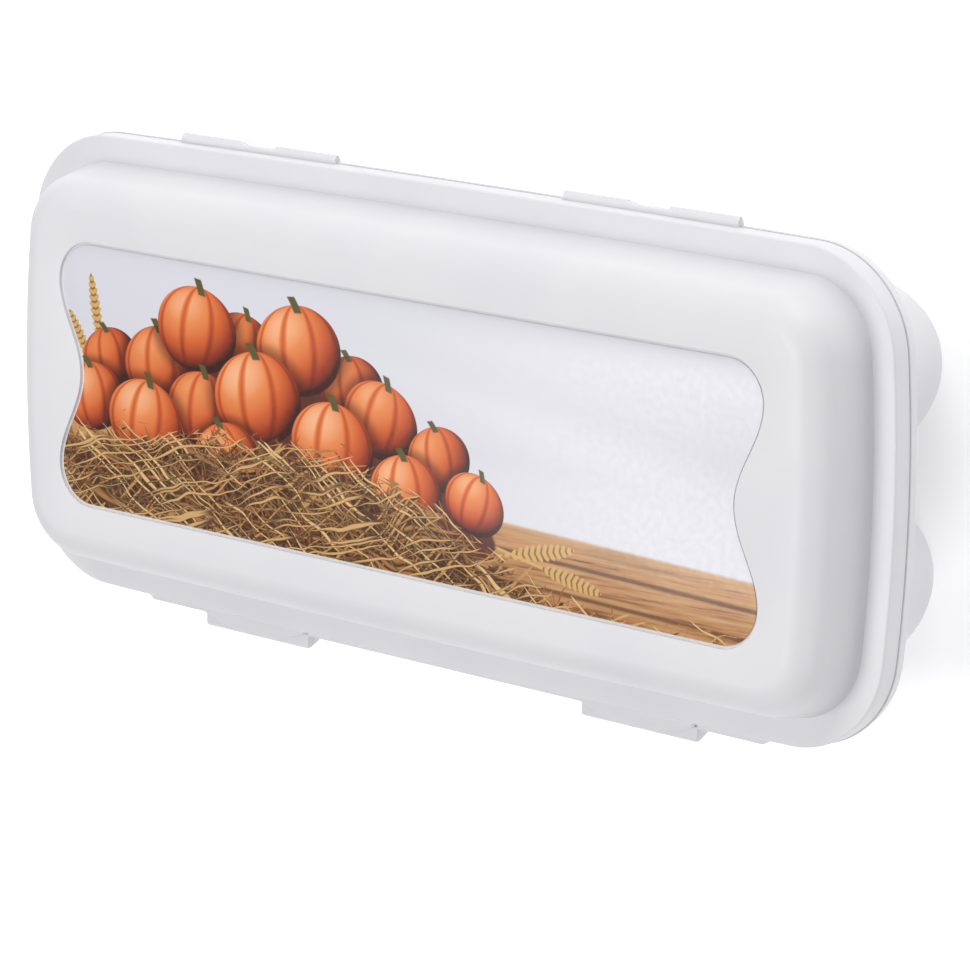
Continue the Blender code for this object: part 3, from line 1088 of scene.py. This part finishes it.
@dataclass
class DomedLid:
    """Lid in one shell: a skirt, a sloped land, the dome and the recess for the label."""

    material: bpy.types.Material
    heights: Heights = field(default_factory=Heights)
    rim: RimPlan = field(default_factory=RimPlan)
    recess: LabelPlan = field(default_factory=LabelPlan)
    rim_fillet: float = 0.00055
    rim_rings: int = 5
    seat_drop: float = 0.00015
    land_width: float = 0.0067
    land_drop: float = 0.0012
    wall_inset: float = 0.0021
    dome_fillet: float = 0.0085
    dome_rings: int = 18
    crease_radius: float = 0.0006
    recess_depth: float = 0.0009
    recess_edge: float = 0.0003
    lip_offset: float = 0.0600
    lip_half_length: float = 0.0168
    lip_reach: float = 0.0050
    lip_end_reach: float = 0.0017
    lip_height: float = 0.0014
    lip_steps: int = 24
    lip_edge: float = 0.00035

    def build(self) -> list[bpy.types.Object]:
        """Build and dress the lid and its two thumb lips.

        Returns:
            The pieces.
        """
        shell = self.make_shell()
        finish_piece(shell, self.material, Body.LID)
        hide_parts("lid")
        made = [shell]
        for side in Side:
            lip = self.make_lip(side)
            finish_piece(lip, self.material, Body.LID)
            made.append(lip)
        return made

    def rings(self) -> list[Point]:
        """Work out the steps of the dome's section, from the skirt's lower edge to the front.

        Returns:
            The inset and the rise of each step.
        """
        wall_angle = math.atan2(self.wall_inset, self.heights.dome + self.land_drop - self.dome_fillet)
        flat_rise = self.dome_fillet * (1 - math.sin(wall_angle))
        wall_rise = self.heights.dome + self.land_drop - flat_rise
        steps = [(0.0, self.heights.skirt + self.seat_drop - self.rim_fillet)]
        steps += fillet_rings(self.rim_fillet, 0.0, self.rim_rings)
        steps += [(self.land_width - self.rim_fillet - self.crease_radius,
                   -self.land_drop + self.crease_radius / 8)]
        steps += [(self.crease_radius, -self.crease_radius / 8)]
        steps += [(self.crease_radius / 8, self.crease_radius / 2)]
        steps += [(self.wall_inset - self.crease_radius / 8, wall_rise - self.crease_radius / 2)]
        steps += fillet_rings(self.dome_fillet, wall_angle, self.dome_rings)
        return steps

    def make_shell(self) -> bpy.types.Object:
        """Model the shell: rings grown from the rim's plan, the recess let in and the wall thickened.

        Returns:
            The shell.
        """
        low = self.heights.lid_bottom - self.seat_drop
        outline = [(x, y, low) for x, y in self.rim.outline(0.0)]
        shell = Workbench.sheet("lid_shell", outline)
        Workbench.edit_whole(shell)
        Workbench.grow(self.rings())
        bpy.ops.mesh.delete(type="ONLY_FACE")
        Workbench.close()
        Workbench.join(shell, [self.make_pocket()])
        self.fill_front(shell)
        Workbench.weld(shell, outwards=False)
        Workbench.apply(shell, "SOLIDIFY", thickness=self.heights.wall, offset=-1.0, use_even_offset=True)
        Workbench.shade(shell)
        return shell

    def make_pocket(self) -> bpy.types.Object:
        """Model the recess for the label, with rounded upper and lower edges.

        Returns:
            The open recess.
        """
        outline = [(x, y, self.heights.dome_top) for x, y in self.recess.outline(0.0)]
        pocket = Workbench.sheet("label_pocket", outline)
        Workbench.edit_whole(pocket)
        edge = self.recess_edge
        Workbench.grow([(edge * 0.3, -edge * 0.05), (edge * 0.3, -edge * 0.25), (edge * 0.15, -edge * 0.7)])
        Workbench.grow([(0.0, -(self.recess_depth - edge * 1.5)), (edge * 0.5, -edge * 0.5)])
        Workbench.close()
        return pocket

    def fill_front(self, shell: bpy.types.Object) -> None:
        """Fill the flat front between the dome's top edge and the recess.

        Args:
            shell: The dome and the recess, joined.
        """
        top = self.heights.dome_top - weld_distance
        Workbench.pick_open_edge(shell)
        bpy.ops.object.mode_set(mode="OBJECT")
        for edge_line in shell.data.edges:
            if edge_line.select and shell.data.vertices[edge_line.vertices[0]].co.z < top:
                edge_line.select = False
        for vertex in shell.data.vertices:
            vertex.select = vertex.select and vertex.co.z >= top
        bpy.ops.object.mode_set(mode="EDIT")
        bpy.ops.mesh.fill(use_beauty=True)
        Workbench.close()

    def make_lip(self, side: Side) -> bpy.types.Object:
        """Model the crescent that the thumb lifts.

        Args:
            side: Which of the two lips.

        Returns:
            The lip.
        """
        face_y = self.rim.centre_y - self.rim.width / 2
        root_y = face_y + self.heights.wall / 2
        radius = bow_radius(self.lip_half_length, self.lip_reach - self.lip_end_reach)
        half_angle = math.asin(self.lip_half_length / radius)
        centre_x = side.value * self.lip_offset
        start = -math.pi / 2 - half_angle
        centre = (centre_x, face_y - self.lip_reach + radius)
        outline = arc(centre, radius, start, start + 2 * half_angle, self.lip_steps)
        outline += [(centre_x + self.lip_half_length, face_y - self.lip_end_reach),
                    (centre_x + self.lip_half_length, root_y), (centre_x - self.lip_half_length, root_y)]
        points = [(x, y, self.heights.lid_bottom) for x, y in outline]
        lip = Workbench.block("thumb_lip_" + side.word, points, (0.0, 0.0, self.lip_height))
        Workbench.soften(lip, self.lip_edge, 3, 50)
        Workbench.shade(lip)
        return lip


@dataclass
class EggTray:
    """Tray in one moulding: a deck with ten cups, a turned-down lip, a rib, a ledge and two latch tabs."""

    material: bpy.types.Material
    heights: Heights = field(default_factory=Heights)
    rim: RimPlan = field(default_factory=RimPlan)
    lip_inset: float = 0.0003
    lip_height: float = 0.0032
    edge_round: float = 0.00025
    bead_reach: float = 0.0003
    bead_height: float = 0.0008
    bead_width: float = 0.0012
    bead_drop: float = 0.00002
    rib_inset: float = 0.0018
    rib_width: float = 0.0012
    rib_height: float = 0.0024
    cups_long: int = 5
    cups_wide: int = 2
    cup_pitch: float = 0.0495
    cup_radius: float = 0.0232
    foot_radius: float = 0.0040
    cup_roundness: float = 2.78
    cup_rings: int = 22
    cup_sides: int = 72
    mouth_radius: float = 0.0009
    mouth_rings: int = 5
    ledge_half_length: float = 0.0990
    ledge_reach: float = 0.0025
    ledge_height: float = 0.0020
    ledge_end_slope: float = 0.0035
    ledge_round: float = 0.0004
    tab_offset: float = 0.0600
    tab_half_length: float = 0.0170
    tab_reach: float = 0.0058
    tab_height: float = 0.0049
    tab_edge_height: float = 0.0014
    tab_draft: float = 0.0015
    tab_corner: float = 0.0007
    tab_corner_steps: int = 8
    tab_round: float = 0.0002

    def build(self) -> list[bpy.types.Object]:
        """Build and dress the tray's pieces.

        Returns:
            The pieces.
        """
        moulding = self.make_moulding()
        finish_piece(moulding, self.material, Body.TRAY)
        cups = [f"egg_cup_{number:02d}" for number in range(1, self.cups_long * self.cups_wide + 1)]
        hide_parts("tray_rim", *cups)
        made = [moulding, self.make_rib(), self.make_bead(), self.make_ledge()]
        made += [self.make_tab(side) for side in Side]
        for item in made[1:]:
            finish_piece(item, self.material, Body.TRAY)
        return made

    def cup_section(self) -> list[Point]:
        """Work out the cup's inner wall from its mouth down to its foot.

        Returns:
            Radius and height of each ring.
        """
        wall = self.heights.wall
        depth = self.heights.cup_height - wall
        flare = self.cup_radius - self.foot_radius
        section = []
        for i in range(self.cup_rings + 1):
            share = math.sin(math.pi / 2 * i / self.cup_rings)
            radius = self.foot_radius + flare * math.sqrt(max(0.0, 1 - share ** self.cup_roundness))
            section.append((radius - wall, self.heights.cup_height - depth * share))
        mouth = []
        for i in range(self.mouth_rings):
            angle = math.pi / 2 * i / self.mouth_rings
            mouth.append((self.cup_radius - wall + self.mouth_radius * (1 - math.sin(angle)),
                          self.heights.deck_top - self.mouth_radius * (1 - math.cos(angle))))
        return mouth + section

    def make_cup(self) -> bpy.types.Object:
        """Model one cup's inner surface round the origin: a circle drawn down and narrowed ring by ring.

        Returns:
            The open cup.
        """
        section = self.cup_section()
        Workbench.clear()
        bpy.ops.mesh.primitive_circle_add(vertices=self.cup_sides, radius=section[0][0],
                                          location=(0.0, 0.0, section[0][1]))
        cup = bpy.context.object
        Workbench.take(cup)
        bpy.ops.object.transform_apply(location=True, rotation=True, scale=True)
        Workbench.edit_whole(cup, "EDGE")
        for (wide, high), (narrow, low) in zip(section, section[1:]):
            Workbench.draw_out((0.0, 0.0, low - high))
            share = narrow / wide
            bpy.ops.transform.resize(value=(share, share, 1.0), center_override=(0.0, 0.0, low))
        bpy.ops.mesh.edge_face_add()
        Workbench.close()
        return cup

    def make_moulding(self) -> bpy.types.Object:
        """Model the deck, its turned-down lip and the ten cups, then thicken them.

        Returns:
            The moulding.
        """
        cup = self.make_cup()
        cups = []
        for row in range(self.cups_wide):
            for column in range(self.cups_long):
                x = (column - (self.cups_long - 1) / 2) * self.cup_pitch
                y = (row - (self.cups_wide - 1) / 2) * self.cup_pitch + self.rim.centre_y
                cups.append(Workbench.copy(cup, (x, y, 0.0)))
        bpy.data.objects.remove(cup, do_unlink=True)
        outline = [(x, y, self.heights.deck_top) for x, y in self.rim.outline(self.lip_inset)]
        deck = Workbench.sheet("tray_moulding", outline)
        Workbench.edit_whole(deck)
        bpy.ops.mesh.delete(type="ONLY_FACE")
        Workbench.close()
        Workbench.join(deck, cups)
        top = self.heights.deck_top - weld_distance
        Workbench.pick(deck, "EDGE", lambda place: place.z >= top)
        bpy.ops.mesh.fill(use_beauty=True)
        Workbench.close()
        Workbench.pick_open_edge(deck)
        Workbench.draw_out((0.0, 0.0, -self.lip_height))
        Workbench.close()
        Workbench.weld(deck, outwards=False)
        self.face_up(deck)
        Workbench.apply(deck, "SOLIDIFY", thickness=self.heights.wall, offset=-1.0, use_even_offset=True)
        Workbench.soften(deck, self.edge_round, 3, 60)
        Workbench.shade(deck)
        return deck

    def face_up(self, deck: bpy.types.Object) -> None:
        """Turn the open sheet so that its deck looks up.

        Args:
            deck: The sheet.
        """
        Workbench.edit_whole(deck)
        bpy.ops.mesh.normals_make_consistent(inside=False)
        Workbench.close()
        level = [f for f in deck.data.polygons if abs(f.center.z - self.heights.deck_top) < weld_distance]
        if sum(f.normal.z * f.area for f in level) < 0.0:
            Workbench.edit_whole(deck)
            bpy.ops.mesh.flip_normals()
            Workbench.close()

    def make_rib(self) -> bpy.types.Object:
        """Model the rib that keeps the closed lid in place.

        Returns:
            The rib.
        """
        level = self.heights.deck_top - self.heights.wall / 2
        height = self.rib_height + self.heights.wall / 2
        return self.make_band("tray_rib", self.rib_inset, self.rib_width, level, height)

    def make_bead(self) -> bpy.types.Object:
        """Model the bead round the deck's edge.

        Returns:
            The bead.
        """
        level = self.heights.deck_top - self.bead_height
        height = self.bead_height - self.bead_drop
        return self.make_band("tray_bead", -self.bead_reach, self.bead_width, level, height)

    def make_band(self, name: str, inset: float, width: float, level: float,
                  height: float) -> bpy.types.Object:
        """Model a band that runs round the tray along the rim's plan.

        Args:
            name: Name of the piece.
            inset: How far its outer face lies inside the rim's edge.
            width: Its width.
            level: Its lower side.
            height: Its height.

        Returns:
            The band.
        """
        band = Workbench.sheet(name, [(x, y, level) for x, y in self.rim.outline(inset)])
        Workbench.edit_whole(band)
        Workbench.grow([(width, 0.0)])
        bpy.ops.mesh.delete(type="FACE")
        bpy.ops.mesh.select_all(action="SELECT")
        Workbench.draw_out((0.0, 0.0, height))
        Workbench.close()
        Workbench.weld(band)
        Workbench.soften(band, self.edge_round, 3, 50)
        Workbench.shade(band)
        return band

    def make_ledge(self) -> bpy.types.Object:
        """Model the shallow ledge along the latch side, its ends sloped.

        Returns:
            The ledge.
        """
        face_y = self.rim.centre_y - self.rim.width / 2
        root_y = face_y + self.heights.wall
        long_half = self.ledge_half_length
        short_half = long_half - self.ledge_end_slope
        tip_y = face_y - self.ledge_reach
        outline = [(-long_half, root_y), (-long_half, face_y), (-short_half, tip_y), (short_half, tip_y),
                   (long_half, face_y), (long_half, root_y)]
        low = self.heights.deck_top - self.ledge_height
        points = [(x, y, low) for x, y in outline]
        ledge = Workbench.block("tray_ledge", points, (0.0, 0.0, self.ledge_height))
        Workbench.soften(ledge, self.ledge_round, 3, 25)
        Workbench.shade(ledge)
        return ledge

    def make_tab(self, side: Side) -> bpy.types.Object:
        """Model a latch tab, deep at its root and drawn in below its edge.

        Args:
            side: Which of the two tabs.

        Returns:
            The tab.
        """
        face_y = self.rim.centre_y - self.rim.width / 2
        root_y = face_y + self.heights.wall
        tip_y = face_y - self.tab_reach
        top = self.heights.deck_top
        low = top - self.tab_height
        edge = top - self.tab_edge_height
        section = [(root_y, top), (tip_y, top), (tip_y, edge), (tip_y + self.tab_draft, low), (root_y, low)]
        start = side.value * self.tab_offset - self.tab_half_length
        points = [(start, y, z) for y, z in section]
        tab = Workbench.block("latch_tab_" + side.word, points, (2 * self.tab_half_length, 0.0, 0.0))
        Workbench.pick(tab, "EDGE", lambda place: place.y < face_y - self.tab_reach / 2)
        bpy.ops.object.mode_set(mode="OBJECT")
        for line in tab.data.edges:
            first, last = (tab.data.vertices[i].co for i in line.vertices)
            line.select = line.select and abs(first.x - last.x) < self.tab_half_length
        bpy.ops.object.mode_set(mode="EDIT")
        bpy.ops.mesh.bevel(offset=self.tab_corner, segments=self.tab_corner_steps, affect="EDGES")
        Workbench.close()
        Workbench.soften(tab, self.tab_round, 2, 40)
        Workbench.shade(tab)
        return tab


@dataclass
class FoldingHinge:
    """One hinge: a leaf on the tray, a leaf on the lid and the two thin films between them."""

    side: Side
    tray_material: bpy.types.Material
    lid_material: bpy.types.Material
    heights: Heights = field(default_factory=Heights)
    rim: RimPlan = field(default_factory=RimPlan)
    offset: float = 0.0600
    half_length: float = 0.0251
    tab_length: float = 0.0196
    reach: float = 0.00177
    film_thickness: float = 0.00013
    film_overlap: float = 0.00005
    film_steps: int = 10
    web_reach: float = 0.0011
    root_height: float = 0.00125
    tip_height: float = 0.0004
    bow: float = 0.00012
    bow_steps: int = 8
    root_depth: float = 0.0012
    slit: float = 0.0001
    notch_slope: float = 0.0012

    @property
    def root_y(self) -> float:
        """Return where the leaves leave the rim."""
        return self.rim.centre_y + self.rim.width / 2

    @property
    def tip_y(self) -> float:
        """Return how far out the leaves reach."""
        return self.root_y + self.reach

    def build(self) -> list[bpy.types.Object]:
        """Build and dress the two leaves and the two films.

        Returns:
            The pieces.
        """
        tray_leaf = self.make_leaf("tray_leaf_" + self.side.word, -1)
        finish_piece(tray_leaf, self.tray_material, Body.TRAY)
        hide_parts("tray_hinge_leaf_" + self.side.word)
        lid_leaf = self.make_leaf("lid_leaf_" + self.side.word, 1)
        finish_piece(lid_leaf, self.lid_material, Body.LID)
        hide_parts("lid_hinge_leaf_" + self.side.word)
        return [tray_leaf, lid_leaf] + self.make_films()

    def make_films(self) -> list[bpy.types.Object]:
        """Model and dress the films, one for each pair of tabs.

        Returns:
            The films.
        """
        start = self.side.value * self.offset - self.half_length
        end = start + 2 * self.half_length
        outer_end = start + self.tab_length - self.notch_slope
        outer = self.make_film("outer_film_" + self.side.word, start, outer_end)
        inner = self.make_film("inner_film_" + self.side.word, end - self.tab_length, end)
        return [outer, inner]

    def make_film(self, name: str, low_x: float, high_x: float) -> bpy.types.Object:
        """Model a flat film strip that runs from the tray's leaf to the lid's.

        Args:
            name: Name of the piece.
            low_x: Where it starts.
            high_x: Where it ends.

        Returns:
            The film.
        """
        inner_y = self.tip_y - self.film_overlap
        outer_y = self.tip_y + self.film_thickness
        levels = [self.heights.fold + self.tip_height * (2 * i / self.film_steps - 1)
                  for i in range(self.film_steps + 1)]
        section = [(outer_y, z) for z in levels] + [(inner_y, z) for z in reversed(levels)]
        film = Workbench.block(name, [(low_x, y, z) for y, z in section], (high_x - low_x, 0.0, 0.0))
        Workbench.shade(film)
        film.data.materials.append(self.lid_material)
        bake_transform(film)
        return film

    def section(self, up: int) -> list[Point]:
        """Draw a leaf's section.

        Args:
            up: 1 for the lid's leaf and -1 for the tray's.

        Returns:
            The section's points in Y and Z.
        """
        slit = self.slit / 2
        inner_y = self.root_y - self.root_depth
        points = [(inner_y, self.heights.fold + up * slit), (self.tip_y, self.heights.fold + up * slit)]
        for i in range(self.bow_steps + 1):
            share = i / self.bow_steps
            rise = self.tip_height + (self.root_height - self.tip_height) * share
            points.append((self.tip_y - self.reach * share,
                           self.heights.fold + up * (rise + self.bow * math.sin(math.pi * share))))
        points.append((inner_y, self.heights.fold + up * self.root_height))
        return points

    def make_leaf(self, name: str, up: int) -> bpy.types.Object:
        """Model a leaf: two tall tabs with a low web between them.

        Args:
            name: Name of the piece.
            up: 1 for the lid's leaf and -1 for the tray's.

        Returns:
            The leaf.
        """
        centre_x = self.side.value * self.offset
        start = centre_x - self.half_length
        points = [(start, y, z) for y, z in self.section(up)]
        leaf = Workbench.block(name, points, (2 * self.half_length, 0.0, 0.0))
        notch = self.make_notch(centre_x)
        Workbench.apply(leaf, "BOOLEAN", operation="DIFFERENCE", solver="EXACT", object=notch)
        bpy.data.objects.remove(notch, do_unlink=True)
        Workbench.shade(leaf)
        return leaf

    def make_notch(self, centre_x: float) -> bpy.types.Object:
        """Model the block that cuts the web low.

        Args:
            centre_x: Where the hinge lies along the rim.

        Returns:
            The block.
        """
        low_x = centre_x - self.half_length + self.tab_length
        high_x = centre_x + self.half_length - self.tab_length
        notch_y = self.root_y + self.web_reach
        far_y = self.tip_y + self.reach
        slope = self.notch_slope * (far_y - notch_y) / (self.tip_y - notch_y)
        outline = [(low_x + self.notch_slope, notch_y), (high_x, notch_y), (high_x, far_y),
                   (low_x + self.notch_slope - slope, far_y)]
        height = 2 * (self.root_height + self.reach)
        points = [(x, y, self.heights.fold - height / 2) for x, y in outline]
        return Workbench.block("notch", points, (0.0, 0.0, height))


@dataclass
class PrintedLabel:
    """Thin film that lies in the lid's recess."""

    material: bpy.types.Material
    heights: Heights = field(default_factory=Heights)
    plan: LabelPlan = field(default_factory=LabelPlan)
    recess_depth: float = 0.0009
    clearance: float = 0.00003
    thickness: float = 0.0002
    margin: float = 0.0009
    edge_round: float = 0.00008

    def build(self) -> bpy.types.Object:
        """Build and dress the label.

        Returns:
            The label.
        """
        low = self.heights.dome_top - self.recess_depth + self.clearance
        points = [(x, y, low) for x, y in self.plan.outline(self.margin)]
        label = Workbench.block("label_print", points, (0.0, 0.0, self.thickness))
        Workbench.soften(label, self.edge_round, 2, 60)
        Workbench.shade(label)
        finish_piece(label, self.material, Body.LID)
        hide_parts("label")
        return label


@dataclass(frozen=True)
class SoftBox:
    """Square area light that looks at the container."""

    name: str
    place: Place
    size: float
    power: float

    def hang(self, aim: Place) -> None:
        """Hang the box.

        Args:
            aim: What it looks at.
        """
        light = bpy.data.lights.new(self.name, "AREA")
        light.shape = "SQUARE"
        light.size = self.size
        light.energy = self.power
        box = bpy.data.objects.new(self.name, light)
        bpy.context.scene.collection.objects.link(box)
        box.location = self.place
        box.rotation_euler = (Vector(aim) - Vector(self.place)).to_track_quat("-Z", "Y").to_euler()


@dataclass
class Studio:
    """Pale floor, soft light and the camera at the photograph's angle."""

    camera_place: Place = (0.68565, 0.23437, 0.86361)
    camera_right: Place = (0.7693, 0.0180, -0.6386)
    camera_up: Place = (-0.1578, 0.9740, -0.1627)
    camera_back: Place = (0.6191, 0.2259, 0.7521)
    lens: float = 170.8
    sensor: float = 36.0
    floor_size: float = 12.0
    sky: Colour = (0.96, 0.95, 1.0, 1.0)
    sky_strength: float = 0.31
    aim: Place = (0.0, 0.0, 0.04)
    boxes: tuple[SoftBox, ...] = (
        SoftBox("overhead_box", (-0.3, -0.15, 1.3), 0.6, 7.6),
        SoftBox("latch_side_box", (0.1, -1.25, 0.75), 0.7, 3.4),
        SoftBox("high_hinge_box", (-0.35, 0.9, 1.1), 0.7, 3.2),
        SoftBox("low_hinge_box", (0.3, 1.3, 0.5), 0.8, 8.6),
        SoftBox("right_box", (1.1, -0.33, 0.9), 0.6, 2.4),
    )

    def build(self) -> None:
        """Set up the floor, the lights and the camera."""
        self.lay_floor()
        self.hang_lights()
        self.place_camera()
        bpy.context.scene.view_settings.view_transform = "Standard"

    def lay_floor(self) -> None:
        """Lay the floor that the container stands on."""
        Workbench.clear()
        bpy.ops.mesh.primitive_plane_add(size=self.floor_size, location=(0.0, 0.0, 0.0))
        floor = bpy.context.object
        floor.name = "floor"
        floor.data.materials.append(FloorPaint().make())

    def hang_lights(self) -> None:
        """Light the container with a pale sky and soft boxes."""
        world = bpy.data.worlds.new("studio_sky")
        world.use_nodes = True
        background = world.node_tree.nodes["Background"]
        background.inputs["Color"].default_value = self.sky
        background.inputs["Strength"].default_value = self.sky_strength
        bpy.context.scene.world = world
        for box in self.boxes:
            box.hang(self.aim)

    def place_camera(self) -> None:
        """Place the camera."""
        camera = bpy.data.cameras.new("camera")
        camera.lens = self.lens
        camera.sensor_width = self.sensor
        camera.clip_start = 0.01
        camera.clip_end = 50.0
        holder = bpy.data.objects.new("camera", camera)
        bpy.context.scene.collection.objects.link(holder)
        axes = Matrix((self.camera_right, self.camera_up, self.camera_back)).transposed()
        holder.matrix_world = Matrix.Translation(self.camera_place) @ axes.to_4x4()
        bpy.context.scene.camera = holder


def main() -> None:
    """Build the container and its studio, and report each piece."""
    logging.basicConfig(level=logging.INFO, format="%(message)s")
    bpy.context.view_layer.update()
    lid_plastic = MouldedPlastic("lid_polypropylene").make()
    tray_plastic = MouldedPlastic("tray_polypropylene").make()
    film = HarvestPrint().make()
    pieces = EggTray(tray_plastic).build()
    pieces += DomedLid(lid_plastic).build()
    for side in Side:
        pieces += FoldingHinge(side, tray_plastic, lid_plastic).build()
    pieces.append(PrintedLabel(film).build())
    for piece in pieces:
        log.info("%s has %d faces", piece.name, len(piece.data.polygons))
    Studio().build()


if __name__ == "__main__":
    main()
